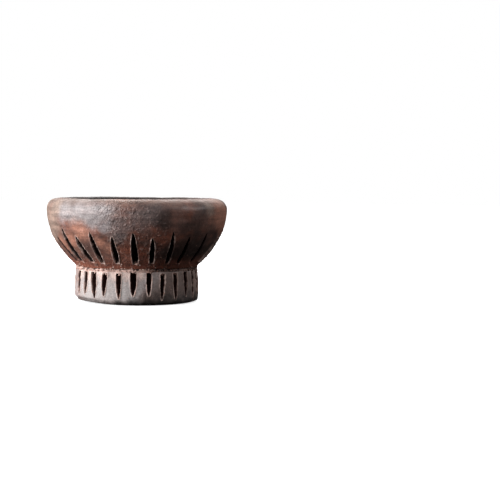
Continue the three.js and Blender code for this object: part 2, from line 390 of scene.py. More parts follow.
def make_bowl(cuts):
    """The bowl: turned and burnished, pitted on its front, slashed above the joint."""
    profile = bowl_profile()
    normal = outward(profile, closed=False)
    past_neck = profile[:, 0] > NECK_RADIUS * 0.99
    wall_starts = np.argmax(past_neck & (profile[:, 1] > JOINT_HEIGHT + SLASH_BOTTOM))
    along = (length_along(profile) - length_along(profile)[wall_starts])[:, None]

    climb = np.clip(along / cuts.length, -0.3, 1.3)
    angles, offsets, cut_of = columns_through(cuts.azimuth + cuts.lean * climb, *SLASH_COLUMNS)
    base = round_axis(angles, profile[:, :1], profile[:, 1:])
    out = round_axis(angles, normal[:, :1], normal[:, 1:])
    cut, shallow, burr = slash_relief(profile, offsets, cut_of, base, cuts, along)

    rim_starts = np.argmax(profile[:, 1])
    rows = np.arange(len(profile))[:, None] + 0 * angles
    hollow = step_up(rim_starts - 2, rim_starts + 3, rows)
    outer = step_up(0.2, 0.5, normal[:, :1]) * (1 - hollow)
    upper = step_up(JOINT_HEIGHT + 8 * MM, JOINT_HEIGHT + CUT_ZONE, profile[:, 1:])
    turned = round_axis(angles, 5 * MM, along)
    relief = 0.2 * MM * noise(base, 34 * MM, 31) - 0.12 * MM
    relief += 0.15 * MM * noise(base, 11 * MM, 32)
    relief += 0.10 * MM * rough(base, 3.4 * MM, 33)
    relief += 0.05 * MM * noise(turned, 1.1 * MM, 34) * np.maximum(upper, hollow)
    relief += 0.06 * MM * rough(base, 1.1 * MM, 35, 2) * (1.25 - upper)
    middle = bump(0, 24 * MM, base[..., 0])
    pitted = step_up(0.3, 0.9, 0.6 * noise(base, 14 * MM, 36) + 1.1 * middle) * outer
    pits = step_up(0.46, 0.7, noise(base, 0.9 * MM, 37)) * (0.2 + pitted) * (1 - hollow)
    grains = step_up(0.42, 0.7, noise(base, 0.8 * MM, 38)) * (0.3 + pitted) * (1 - hollow)
    relief += -0.14 * MM * pits + 0.17 * MM * grains
    side = base[..., 0] / BELLY_RADIUS
    shoulder = bump(0.7, 0.4, normal[:, 1:]) * outer
    relief += shoulder * (0.36 * MM - 0.12 * MM * step_up(0.2, 0.9, side))
    relief += 0.3 * MM * bump(1, 0.25, normal[:, 1:])
    relief += -cuts.depth[cut_of] * cut * shallow + BURR_HEIGHT * burr
    points = base + out * relief[..., None]
    points[..., 2] += RIM_TILT * points[..., 0] * step_up(JOINT_HEIGHT, RIM_HEIGHT, base[..., 2])

    rim = bump(rim_starts - 8, 6.5, rows + 2.5 * noise(base, 6 * MM, 39))
    back = base[..., 1] / BELLY_RADIUS
    # Painted shade as well as soot: the inner lip and the mouth's back edge are darkened, more towards
    # the back and less towards the right.
    sootier_and_shaded = noise(base, 22 * MM, 40) + 0.5 * back - 0.7 * step_up(0, 0.8, side)
    lip = bump(rim_starts + 7, 8, rows) * step_up(-0.5, 0.3, sootier_and_shaded)
    back_lip_soot_and_shade = step_up(rim_starts - 3, rim_starts, rows) * bump(0.75, 0.7, back)
    back_lip_soot_and_shade *= 1 - 0.7 * step_up(0.1, 0.7, side)
    masks = {
        "cut": cut, "burr": burr, "pit": pits, "grain": grains, "pitted": pitted,
        "rim": rim, "lip": lip, "hollow": np.maximum(hollow, back_lip_soot_and_shade), "along": along + 0 * angles,
    }
    return closed_surface("clay_bowl", points, masks)


# ---- the foot ----

def foot_wall():
    """The foot ring's outside from its lower corner up to the joint: radius and height."""
    corner = (FOOT_RADIUS, FOOT_CORNER)
    above_corner = (FOOT_RADIUS, FOOT_CORNER + 5 * MM)
    below_neck = (FOOT_RADIUS, FOOT_TOP - 4 * MM)
    neck = (NECK_RADIUS + 0.1 * MM, FOOT_TOP - 0.3 * MM)
    return bezier(corner, above_corner, below_neck, neck, 200)


def foot_profile():
    """The foot ring's closed section: down its inside, under the foot, up the outside and over."""
    inner, top, wall = FOOT_INNER_RADIUS, FOOT_TOP, foot_wall()
    corner = ellipse((FOOT_RADIUS - FOOT_CORNER, FOOT_CORNER), FOOT_CORNER, FOOT_CORNER, -90, 0, 60)
    inner_centre = (inner + FOOT_INNER_CORNER, FOOT_INNER_CORNER)
    inner_corner = ellipse(inner_centre, FOOT_INNER_CORNER, FOOT_INNER_CORNER, 180, 270, 30)
    loop = joined(
        spaced(np.vstack([(inner, top), inner_corner]), 1.4 * MM),
        spaced([inner_corner[-1], corner[0]], 1.2 * MM),
        spaced(corner, 0.4 * MM),
        spaced(wall, 0.3 * MM),
        spaced([wall[-1], (NECK_RADIUS - 1 * MM, top), (inner, top)], 1.2 * MM),
    )
    return loop[:-1]


def foot_cuts():
    """The slots round the foot, which hang down from the joint."""
    cuts = Cuts(12, SLOT_COUNT, SLOT_START, SLOT_NUDGES, {}, 0.8)
    cuts.lean *= 0.5
    count = len(cuts.index)
    cuts.top = JOINT_HEIGHT - SLOT_TOP + cuts.rng.uniform(-0.5, 0.4, count) * MM
    cuts.length = SLOT_LENGTH + cuts.rng.uniform(-1.4, 1.2, count) * MM
    cuts.half = cuts.spread(SLOT_WIDTH / 2, 0.12) * cuts.named(SLOT_WIDTHS)
    cuts.depth = cuts.spread(SLOT_DEPTH, 0.1)
    return cuts


def slot_relief(height, offsets, cut_of, base, outside, cuts):
    """How deep the slots are, how much of that their tips keep, and how high their edges stand."""
    length = cuts.length[cut_of]
    across = np.radians(offsets) * FOOT_RADIUS + 0.12 * MM * noise(base, 2.6 * MM, 41)
    share = (cuts.top[cut_of] - height) / length
    half_here = cuts.half[cut_of] * np.interp(share, *SLOT_OUTLINE)
    half_here *= 1 + 0.07 * noise(base, 1.8 * MM, 42)
    ends = step_up(-0.01, 0.025, share) * (1 - step_up(0.96, 1.0, share))
    inside = np.clip(1 - np.abs(across) / half_here, 0, 1) ** 0.4 * ends * outside
    shallow = 1 - 0.8 * step_up(0.55, 1.0, share)
    gap = np.maximum(np.abs(across) - half_here, np.maximum(-share, share - 1) * length)
    ragged = 0.45 + 0.55 * step_up(-0.4, 0.4, noise(base, 1.4 * MM, 43))
    thick = 0.32 * MM + 0.3 * MM * step_up(0, 0.3, offsets) * step_up(-0.3, 0.2, noise(base, 8 * MM, 44))
    burr = bump(0.24 * MM, thick, gap) * ragged * (1 - step_up(0.02, 0.4, inside)) * outside
    return inside, shallow, burr * step_up(-0.06, 0.0, share) * (1 - step_up(1.0, 1.06, share))


def make_foot(cuts):
    """The foot ring: unburnished, slotted below the joint, worn at its lower left corner."""
    profile = foot_profile()
    normal = outward(profile, closed=True)
    height = profile[:, 1:]
    drop = np.clip((cuts.top - height) / cuts.length, -0.3, 1.3)
    angles, offsets, cut_of = columns_through(cuts.azimuth + cuts.lean * drop, *SLOT_COLUMNS)
    base = round_axis(angles, profile[:, :1], height)
    out = round_axis(angles, normal[:, :1], normal[:, 1:])
    outside = step_up(0.5, 0.8, normal[:, :1]) + 0 * angles
    cut, shallow, burr = slot_relief(height, offsets, cut_of, base, outside, cuts)

    relief = 0.25 * MM * noise(base, 26 * MM, 51)
    relief += 0.16 * MM * noise(base, 7 * MM, 52)
    relief += 0.09 * MM * rough(base, 2.6 * MM, 53)
    relief += 0.05 * MM * noise(base / (1, 1, 5), 1.2 * MM, 54) * outside
    pitted = 0.35 + 0.65 * step_up(0, 0.4, noise(base, 9 * MM, 56))
    pits = step_up(0.45, 0.7, noise(base, 0.95 * MM, 55)) * pitted
    relief -= 0.16 * MM * pits
    side = base[..., 0] / FOOT_RADIUS
    corner = bump(-0.7, 0.4, normal[:, 1:]) * step_up(0.3, 0.8, normal[:, :1])
    relief += 0.45 * MM * corner * (step_up(-0.4, 0.6, side) - 1.5 * step_up(0.3, 0.9, -side))
    resting = 1 - step_up(0.0, 1.2 * MM, height)
    relief = relief * (1 - 0.8 * resting) - 0.12 * MM * resting
    relief += -cuts.depth[cut_of] * cut * shallow + BURR_HEIGHT * burr
    points = base + out * relief[..., None]
    worn_away = 0.9 * MM * bump(-58, 32, (angles + 180) % 360 - 180)
    points[..., 2] = np.maximum(points[..., 2], 0) + worn_away * (1 - step_up(0, 9 * MM, height))

    rows, columns = angles.shape
    faces, uvs = ring_grid(rows, columns, close_rows=True)
    masks = {"cut": cut, "burr": burr, "pit": pits}
    return finish_mesh("clay_foot", points.reshape(-1, 3), faces, masks, uvs)


# ---- the slip along the joint ----

def make_bead():
    """The squeezed-out slip along the joint: an uneven bead, broken up into crumbly lumps."""
    rows, columns = 20, 1100
    turn = np.linspace(0, 2 * np.pi, rows, endpoint=False)[:, None]
    azimuth = np.linspace(0, 360, columns, endpoint=False)[None]
    centre_radius = NECK_RADIUS - BEAD_RADIUS
    spine = round_axis(azimuth, centre_radius, JOINT_HEIGHT)
    fat = BEAD_RADIUS * (0.82 + 0.2 * noise(spine, 4 * MM, 61))
    wander = 0.35 * MM * noise(spine, 9 * MM, 62)
    radius = centre_radius + fat * np.cos(turn)
    base = round_axis(azimuth, radius, JOINT_HEIGHT + wander + fat * np.sin(turn))
    out = round_axis(azimuth, np.cos(turn), np.sin(turn))
    crevice = step_up(0.2, 0.6, noise(base, 1.5 * MM, 65))
    relief = 0.36 * MM * rough(base, 1.5 * MM, 63) + 0.14 * MM * noise(base, 0.6 * MM, 64)
    relief -= 0.55 * MM * crevice
    points = base + out * relief[..., None]
    faces, uvs = ring_grid(rows, columns, close_rows=True)
    # Painted shade in the crevices, through the cut and pit masks.
    masks = {"cut": 0.25 * crevice, "burr": 0.35 + 0 * crevice, "pit": crevice}
    return finish_mesh("luting_bead", points.reshape(-1, 3), faces, masks, uvs)


def lump_ball():
    """The points and faces of a ball of small triangles, to be dented into crumbs."""
    ball = bmesh.new()
    bmesh.ops.create_icosphere(ball, subdivisions=2, radius=1)
    points = np.array([v.co for v in ball.verts])
    faces = np.array([[v.index for v in f.verts] for f in ball.faces])
    ball.free()
    return points, faces


def over_a_cut(azimuth, height, slashes, slots):
    """Whether a place is over a slash or a slot, where a crumb would hang in the air."""
    if height > JOINT_HEIGHT:
        cuts, share = slashes, (height - JOINT_HEIGHT - SLASH_BOTTOM) / (0.8 * slashes.length)
    else:
        cuts, share = slots, (slots.top - height) / slots.length
    aside = (azimuth - cuts.azimuth - cuts.lean * share + 180) % 360 - 180
    return np.any((np.abs(aside) < CUT_REACH) & (share > -0.03) & (share < 1.03))


def crumb_places(slashes, slots):
    """Where crumbs of clay cling: along the joint, at slots' tops, at slashes' feet, strewn about."""
    rng = np.random.default_rng(71)
    wall = joined(foot_wall(), bowl_wall())
    places = []

    def scatter(azimuths, heights, sizes, avoid_cuts=False):
        radii = np.interp(heights, wall[:, 1], wall[:, 0])
        for azimuth, radius, height, size in zip(azimuths, radii, heights, sizes):
            if not (avoid_cuts and over_a_cut(azimuth, height, slashes, slots)):
                places.append((azimuth, radius, height, size))

    azimuths = rng.uniform(-180, 180, JOINT_CRUMBS)
    heights = JOINT_HEIGHT + rng.normal(0.3, 0.9, JOINT_CRUMBS) * MM
    scatter(azimuths, heights, rng.uniform(0.18, 0.48, JOINT_CRUMBS) * MM, avoid_cuts=True)
    for slot_top, azimuth in zip(slots.top, slots.azimuth):
        count = rng.integers(1, 4)
        azimuths = azimuth + rng.uniform(-2.2, 2.2, count)
        heights = slot_top + rng.uniform(-0.5, 0.7, count) * MM
        scatter(azimuths, heights, rng.uniform(0.35, 0.75, count) * MM)
    for azimuth in slashes.azimuth:
        count = rng.integers(1, 4)
        azimuths = azimuth + rng.uniform(1.0, 3.6, count)
        heights = JOINT_HEIGHT + SLASH_BOTTOM + rng.uniform(-1.4, 0, count) * MM
        scatter(azimuths, heights, rng.uniform(0.25, 0.5, count) * MM)
    azimuths = rng.uniform(-180, 180, STREWN_CRUMBS)
    heights = rng.uniform(4, 34, STREWN_CRUMBS) * MM
    scatter(azimuths, heights, rng.uniform(0.14, 0.26, STREWN_CRUMBS) * MM, avoid_cuts=True)
    return places


def make_crumbs(slashes, slots):
    """Dented balls of clay, each turned and stretched its own way."""
    rng = np.random.default_rng(72)
    ball, ball_faces = lump_ball()
    points, faces, burrs = [], [], []
    for n, (azimuth, radius, height, size) in enumerate(crumb_places(slashes, slots)):
        turn = np.linalg.qr(rng.normal(size=(3, 3)))[0]
        lump = ball * rng.uniform(0.6, 1.25, 3) @ turn
        lump *= 1 + 0.35 * noise(lump + 7 * n, 0.8, 73)[:, None]
        if np.linalg.det(turn) < 0:
            lump *= (1, 1, -1)
        points.append(round_axis(azimuth, radius - 0.35 * size, height) + lump * size)
        faces.append(ball_faces + n * len(ball))
        burrs.append(np.full(len(ball), rng.uniform(0, 0.45)))
    masks = {"burr": np.concatenate(burrs)}
    return finish_mesh("clay_crumbs", np.vstack(points), np.vstack(faces).tolist(), masks)


# ---- the wick ----

def wick_profile():
    """The wick's section: a flattened puff of wool drawn up into a thin stem."""
    puff_middle = WICK_BOTTOM + 2.6 * MM
    stem_foot = (WICK_STEM_RADIUS, WICK_BOTTOM + PUFF_HEIGHT + 3 * MM)
    under = ellipse((0, puff_middle), WICK_RADIUS, puff_middle - WICK_BOTTOM, -89, 0, 60)
    gathered = bezier(
        (WICK_RADIUS, puff_middle),
        (WICK_RADIUS, WICK_BOTTOM + PUFF_HEIGHT),
        (WICK_STEM_RADIUS + 1 * MM, WICK_BOTTOM + PUFF_HEIGHT - 0.5 * MM),
        stem_foot,
        100,
    )
    tip = ellipse((0, WICK_TOP - 1.2 * MM), WICK_TIP_RADIUS, 1.2 * MM, 0, 86, 12)
    stem = spaced([stem_foot, tip[0]], 0.12 * MM)
    return joined(spaced(under, 0.3 * MM), spaced(gathered, 0.2 * MM), stem, tip)


def make_wick():
    """Cotton wool: strands that lie outwards over the puff and twist together in the stem."""
    profile = wick_profile()
    normal = outward(profile, closed=False)
    columns = 200
    azimuth = np.linspace(0, 360, columns, endpoint=False)[None]
    radius, height = profile[:, :1], profile[:, 1:]
    stem = step_up(WICK_BOTTOM + PUFF_HEIGHT, WICK_BOTTOM + PUFF_HEIGHT + 4 * MM, height)
    twist = 360 * np.maximum(height - WICK_BOTTOM - 4 * MM, 0) / TWIST_PITCH
    unwound = round_axis(azimuth - twist, 5 * MM, length_along(profile)[:, None] / 9)
    base = round_axis(azimuth, radius, height)
    strands = rough(unwound, 0.9 * MM, 81)
    plies = np.abs(np.cos(np.radians(1.5 * (azimuth - twist)))) - 0.65
    fluff = rough(base, 2.6 * MM, 82)
    relief = (1 - stem) * (0.32 * MM * strands + 0.3 * MM * fluff)
    relief += stem * radius * (0.42 * plies + 0.12 * strands)
    relief *= step_up(0, 2 * MM, radius) * 0.7 + 0.3
    out = round_axis(azimuth, normal[:, :1], normal[:, 1:])
    points = base + out * relief[..., None]
    points[..., 0] += 0.5 * MM * np.sin(height * 260) * stem
    points[..., 1] += 0.4 * MM * np.cos(height * 200) * stem
    points[..., 2] = np.clip(points[..., 2], WICK_BOTTOM, None)
    fold = strands * (1 - stem) + (plies * 2 + 0.4 * strands) * stem
    return closed_surface("wick_cotton", points, {"fold": fold})


def fibre_tube(path, radius, sides=5):
    """A thin tube along a path of points: its points and quads."""
    along = np.gradient(path, axis=0)
    along /= np.linalg.norm(along, axis=1)[:, None]
    across = np.cross(along, (0.3, 0.5, 0.81))
    across /= np.linalg.norm(across, axis=1)[:, None]
    third = np.cross(along, across)
    turn = np.linspace(0, 2 * np.pi, sides, endpoint=False)
    thick = radius * np.sqrt(np.linspace(1, 0.2, len(path)))[:, None, None]
    ring = across[:, None] * np.cos(turn)[None, :, None] + third[:, None] * np.sin(turn)[None, :, None]
    faces, _ = ring_grid(len(path), sides, close_rows=False)
    caps = [list(range(sides))[::-1], list(range((len(path) - 1) * sides, len(path) * sides))]
    return (path[:, None] + ring * thick).reshape(-1, 3), faces + caps


def make_fibres():
    """Stray fibres that curl off the puff and the stem."""
    rng = np.random.default_rng(91)
    profile = wick_profile()
    able = profile[profile[:, 1] > WICK_BOTTOM + 1.5 * MM]
    points, faces = [], []
    count = 0
    for _ in range(STRAY_FIBRES):
        radius, height = able[rng.integers(len(able))]
        azimuth = rng.uniform(0, 360)
        start = round_axis(azimuth, radius * 0.9, height)
        heading = round_axis(azimuth + rng.uniform(-70, 70), 1, rng.uniform(-0.1, 1.4))
        heading /= np.linalg.norm(heading)
        curl = rng.normal(size=3) * 0.8
        steps = np.linspace(0, 1, 9)[:, None]
        reach = rng.uniform(1.2, 3.2) * MM
        path = start + reach * (steps * heading + steps ** 2 * curl * 0.5)
        tube, quads = fibre_tube(path, FIBRE_RADIUS)
        points.append(tube)
        faces += [[corner + count for corner in face] for face in quads]
        count += len(tube)
    points = np.vstack(points)
    return finish_mesh("wick_fibres", points, faces, {"fold": np.ones(len(points))})


# ---- a material's nodes ----

class Shader:
    """A small helper that adds nodes to one material and links them."""

    def __init__(self, name):
        self.material = bpy.data.materials.new(name)
        self.material.use_nodes = True
        self.tree = self.material.node_tree
        self.surface = self.tree.nodes["Principled BSDF"]
        self.place = self.add("ShaderNodeTexCoord").outputs["Object"]

    def add(self, kind, sockets=(), **settings):
        """A new node with its settings, and with its sockets fed by name or number."""
        node = self.tree.nodes.new(kind)
        for key, value in settings.items():
            setattr(node, key, value)
        for key, value in dict(sockets).items():
            self.feed(node.inputs[key], value)
        return node

    def feed(self, socket, value):
        """Links a socket to another one, or sets it to a number or a colour."""
        if isinstance(value, bpy.types.NodeSocket):
            self.tree.links.new(value, socket)
        elif socket.type == "RGBA":
            socket.default_value = (*value, 1)
        else:
            socket.default_value = value

    def noise(self, size, detail=4, roughness=0.55, distortion=0.0, place=None):
        """Fractal noise with lumps of the given size."""
        sockets = {
            "Vector": place or self.place, "Scale": 1 / size, "Detail": detail,
            "Roughness": roughness, "Distortion": distortion,
        }
        return self.add("ShaderNodeTexNoise", sockets).outputs["Fac"]

    def vector(self, operation, first, second=(0, 0, 0), output="Vector"):
        """Two places put together by one operation."""
        sockets = {0: first, 1: second}
        return self.add("ShaderNodeVectorMath", sockets, operation=operation).outputs[output]

    def turned(self, girth, stretch):
        """A place that runs round the axis and along the section, for the marks of turning."""
        around = self.vector("NORMALIZE", self.vector("MULTIPLY", self.place, (1, 1, 0)))
        sockets = {"Z": self.maths("MULTIPLY", self.mask("along"), stretch)}
        along = self.add("ShaderNodeCombineXYZ", sockets).outputs["Vector"]
        return self.vector("ADD", self.vector("MULTIPLY", around, (girth, girth, girth)), along)

    def dots(self, spacing, reach):
        """Small round spots, at random: 1 in their middles."""
        node = self.add("ShaderNodeTexVoronoi", {"Vector": self.place, "Scale": 1 / spacing})
        return self.span(node.outputs["Distance"], reach * 0.4, reach, 1, 0)

    def height(self):
        return self.add("ShaderNodeSeparateXYZ", {0: self.place}).outputs["Z"]

    def mask(self, name):
        """A mask that the mesh carries, or 0 where it has none."""
        return self.add("ShaderNodeAttribute", attribute_name=name).outputs["Fac"]

    def span(self, value, low, high, to_low=0.0, to_high=1.0):
        """The value's range low to high mapped smoothly onto another, and held beyond it."""
        sockets = enumerate((value, low, high, to_low, to_high))
        return self.add("ShaderNodeMapRange", sockets, interpolation_type="SMOOTHSTEP").outputs[0]

    def maths(self, operation, a, b=0.0, clamp=False):
        node = self.add("ShaderNodeMath", {0: a, 1: b}, operation=operation, use_clamp=clamp)
        return node.outputs[0]

    def mix(self, share, a, b, blend="MIX", strength=1.0):
        """Colour a with a share of colour b over it."""
        if strength != 1.0:
            share = self.maths("MULTIPLY", share, strength)
        sockets = {0: share, 6: a, 7: b}  # 6 and 7 are the colours' sockets
        return self.add("ShaderNodeMix", sockets, data_type="RGBA", blend_type=blend).outputs[2]

    def distance(self, point):
        """How far the surface is from a fixed place on the object."""
        return self.vector("DISTANCE", self.place, point, output="Value")

    def bump(self, height, strength, distance, normal=None):
        """The normal of fine relief, over an earlier normal if there is one."""
        sockets = {"Distance": distance, "Strength": strength, "Height": height}
        if normal is not None:
            sockets["Normal"] = normal
        return self.add("ShaderNodeBump", sockets).outputs["Normal"]

    def cloud(self, azimuth, height, size):
        """A soft-edged, wandering patch round a place on the outside: 1 in its middle, 0 beyond it."""
        wall = joined(foot_wall(), bowl_wall())
        radius = np.interp(height, wall[:, 1], wall[:, 0])
        far = self.distance(tuple(float(x) for x in round_axis(azimuth, radius, height)))
        wander = self.maths("MULTIPLY", self.noise(size * 0.9, 5, 0.58), size * 1.6)
        return self.span(self.maths("ADD", far, wander), size * 1.1, size * 2.5, 1, 0)

    def clouded(self, colour, clouds, tint, strength):
        """The colour with a tint over it in each cloud: its azimuth, its height and its size in mm."""
        for azimuth, height, size in clouds:
            cloud = self.cloud(azimuth, height * MM, size * MM)
            colour = self.mix(cloud, colour, tint, strength=strength)
        return colour

    def shaded(self, colour, share, tones, strength):
        """The colour made darker and lighter by a share that wanders between two tones."""
        return self.mix(strength, colour, self.mix(share, *tones), "OVERLAY")

    def finish(self, sockets):
        """The material, once its surface's sockets are fed."""
        for name, value in sockets.items():
            self.feed(self.surface.inputs[name], value)
        return self.material


# ---- colours ----

TERRACOTTA = (0.44, 0.21, 0.148)
RED_CLAY = (0.38, 0.105, 0.048)
LOW_RED = (0.33, 0.1, 0.055)
BROWN_CLAY = (0.225, 0.116, 0.092)
SMOKED_CLAY = (0.108, 0.062, 0.052)
# Near-black: smoke and soot in places, and painted shade in pits, on the bowl's right side and over the
# back of the mouth.
CHARCOAL_AND_SHADE = (0.045, 0.03, 0.027)
# Grey ash bloom that is partly a painted highlight on the bowl's upper left.
ASH_BLOOM_AND_HIGHLIGHT = (0.34, 0.302, 0.304)
# Beige bloom that is partly a painted highlight on the far left and the right shoulder.
BEIGE_BLOOM_AND_HIGHLIGHT = (0.37, 0.27, 0.22)
# Pale clay at burrs and grains, which also serves as a painted highlight on them.
PALE_EDGE_AND_HIGHLIGHT = (0.58, 0.43, 0.38)
ASHY_FOOT = (0.42, 0.37, 0.365)
BROWN_FOOT = (0.25, 0.165, 0.145)
# Near-black cut insides: a dark core of the clay, deepened with painted shade.
DARK_CORE_AND_SHADE = (0.014, 0.004, 0.003)
GREY_BLOOM = (0.2, 0.158, 0.152)
WORN_RIM = (0.5, 0.37, 0.29)
# Near-black inside the mouth's lip: soot and painted shade.
LIP_SOOT_AND_SHADE = (0.014, 0.01, 0.009)

PINK_CLAY = (0.36, 0.19, 0.15)
# Pale ash that is partly painted light on the foot's front left.
PALE_ASH_AND_LIGHT = (0.5, 0.465, 0.455)
# Pale pink that is partly painted light just below the joint on the front.
PINK_ASH_AND_LIGHT = (0.74, 0.57, 0.51)
# Smoked foot colour, partly painted shade on the foot's right.
SMOKED_AND_SHADED_FOOT = (0.19, 0.13, 0.112)
# Painted shade along the foot's lower edge.
SHADED_FOOT_EDGE = (0.05, 0.034, 0.028)
# Painted shade at the foot's bottom edge, mostly on the front right.
BLACK_SHADE = (0.012, 0.008, 0.007)
# The foot's slot insides: a dark red core, deepened with painted shade.
FOOT_CORE_AND_SHADE = (0.045, 0.012, 0.009)

RED_SLIP = (0.32, 0.13, 0.085)
TAN_SLIP = (0.6, 0.4, 0.33)
# Painted light on the slip's front left.
LIT_SLIP = (0.72, 0.54, 0.48)
# Painted shade on the slip's right.
SHADED_SLIP = (0.07, 0.035, 0.026)

CREAM_WOOL = (0.74, 0.68, 0.56)
WHITE_WOOL = (0.9, 0.87, 0.8)
SHADED_WOOL = (0.42, 0.36, 0.27)

SPECKLE_TONES = ((0.3, 0.29, 0.29), (0.68, 0.66, 0.65))
MOTTLE_TONES = ((0.3, 0.29, 0.3), (0.68, 0.66, 0.64))
STREAK_TONES = ((0.3, 0.3, 0.3), (0.7, 0.69, 0.69))
FOOT_TONES = ((0.3, 0.29, 0.3), (0.66, 0.65, 0.65))

# ---- clouds of colour: azimuth in degrees, height in mm, size in mm ----

ORANGE_CLOUDS = (
    (-34, 40, 5.5), (-45, 34, 5), (-58, 32, 5), (-21, 34, 3), (-13, 31, 3.5),
    (70, 50, 8), (84, 44, 8), (112, 34, 8), (158, 36, 10), (-140, 42, 9),
)
# Ash bloom; those on the upper left front are also a painted highlight that widens the sheen.
ASH_AND_HIGHLIGHT_CLOUDS = (
    (-32, 51, 8), (-48, 51, 6), (-17, 50, 7), (-24, 46, 4.5), (-15, 42.5, 3.5), (-86, 51, 6),
    (105, 50, 8), (-168, 49, 10), (-110, 46, 8),
)
# Beige bloom; those on the far left and at 57 degrees on the shoulder are partly a painted highlight.
BEIGE_AND_HIGHLIGHT_CLOUDS = (
    (-64, 45, 8), (-72, 38, 6), (-56, 53, 5), (-78, 50, 7), (57, 52.5, 3.5), (96, 40, 7), (-152, 52, 7),
)
GREY_CLOUDS = ((-4, 45, 6), (8, 47, 6), (16, 50, 5), (-8, 38, 4), (120, 44, 7), (-130, 50, 7))
RED_CLOUDS = ((-8, 29, 4), (3, 29, 5), (14, 29, 5), (24, 36, 5), (-125, 29, 6), (160, 30, 6))
# Smoke clouds; those on the right front, from 20 to 90 degrees, are painted shade where that side turns
# from the light.
SMOKE_AND_SHADE_CLOUDS = (
    (40, 29, 9), (52, 32, 9), (26, 28, 6), (22, 46, 5), (60, 28, 9), (74, 31, 9), (88, 34, 7),
    (-120, 32, 9), (175, 44, 8), (135, 50, 7),
)

# Ash on the foot; the three at the front left are painted light that widens the lit side.
FOOT_ASH_AND_LIGHT = ((-45, 9, 9), (-22, 8, 8), (-4, 8, 6), (110, 9, 9), (-120, 8, 9))
# Smoke on the foot; those from 14 to 74 degrees are painted shade on the side away from the light.
FOOT_SMOKE_AND_SHADE = (
    (48, 9, 10), (30, 6, 8), (72, 10, 10), (36, 16, 5), (54, 16, 5), (74, 16, 5), (14, 3, 4),
    (-150, 8, 9), (140, 12, 8),
)
# Pale pink just below the joint, mostly painted light that lifts the shade under the bowl's overhang.
FOOT_PINK_AND_LIGHT = (
    (-58, 17, 3), (-42, 17, 3.5), (-28, 17, 3.5), (-14, 17, 3.5), (-2, 17, 3), (8, 17, 2.5), (150, 17, 4),
)
# Painted shade along the bottom edge, mostly on the front right.
FOOT_SHADE_CLOUDS = (
    (-12, 0, 3), (2, 0, 4), (14, 0, 5), (28, 0, 6), (45, 0, 6), (62, 0, 6), (80, 0, 6), (-170, 0, 5),
)
# Painted light and painted shade along the joint: lighter to the left, darker to the right.
SLIP_LIGHT_CLOUDS = [(azimuth, JOINT_HEIGHT / MM, 6) for azimuth in range(-60, 5, 16)]
SLIP_SHADE_CLOUDS = [(azimuth, JOINT_HEIGHT / MM, 6) for azimuth in range(28, 95, 16)]


# ---- materials ----

def clay_detail(clay, colour, roughness, relief, lumps=None, core_and_shade=DARK_CORE_AND_SHADE):
    """What all the clay shares: dark cut insides (a dark core with painted shade), pale burrs and grains
    (partly a painted highlight), pits darkened with painted shade, speckle and fine relief.

    lumps is an optional mask for where the surface is lumpier than elsewhere.
    """
    cut = clay.span(clay.mask("cut"), 0.02, 0.16)
    burr = clay.span(clay.mask("burr"), 0.2, 0.7)
    speckle = clay.span(clay.noise(0.7 * MM, 3, 0.7), 0.35, 0.7)
    colour = clay.shaded(colour, speckle, SPECKLE_TONES, 0.55)
    # Painted shade: the pits are darkened.
    colour = clay.mix(clay.mask("pit"), colour, CHARCOAL_AND_SHADE, strength=0.4)
    # Partly a painted highlight: the raised grains are made paler.
    colour = clay.mix(clay.mask("grain"), colour, PALE_EDGE_AND_HIGHLIGHT, strength=0.22)
    # The cut insides take the dark core colour, which is partly painted shade.
    colour = clay.mix(cut, colour, core_and_shade)
    # Burr edges: paler clay, partly a painted highlight where they stand up.
    edge = clay.mix(clay.span(clay.noise(1.5 * MM), 0.5, 0.75), PALE_EDGE_AND_HIGHLIGHT, TERRACOTTA)
    colour = clay.mix(burr, colour, edge, strength=0.9)
    raw = clay.maths("MULTIPLY", clay.maths("ADD", cut, burr), 0.6)
    roughness = clay.maths("ADD", roughness, raw, clamp=True)
    normal = clay.bump(clay.noise(1.8 * MM, 6, 0.62), relief, 0.4 * MM)
    normal = clay.bump(clay.noise(0.4 * MM, 4, 0.65), relief, 0.12 * MM, normal)
    if lumps is not None:
        dents = clay.span(clay.noise(1.1 * MM, 3, 0.5), 0.35, 0.65)
        normal = clay.bump(dents, clay.maths("MULTIPLY", lumps, 0.3), 0.25 * MM, normal)
        grains = clay.maths("SUBTRACT", clay.dots(1.3 * MM, 0.34), clay.dots(1.1 * MM, 0.3))
        normal = clay.bump(grains, clay.maths("MULTIPLY", lumps, 0.6), 0.25 * MM, normal)
        strokes = clay.noise(0.9 * MM, 3, 0.5, 0, clay.turned(4 * MM, 1.0))
        normal = clay.bump(strokes, 0.3, 0.12 * MM, normal)
    return clay.finish({"Base Color": colour, "Roughness": roughness, "Normal": normal})


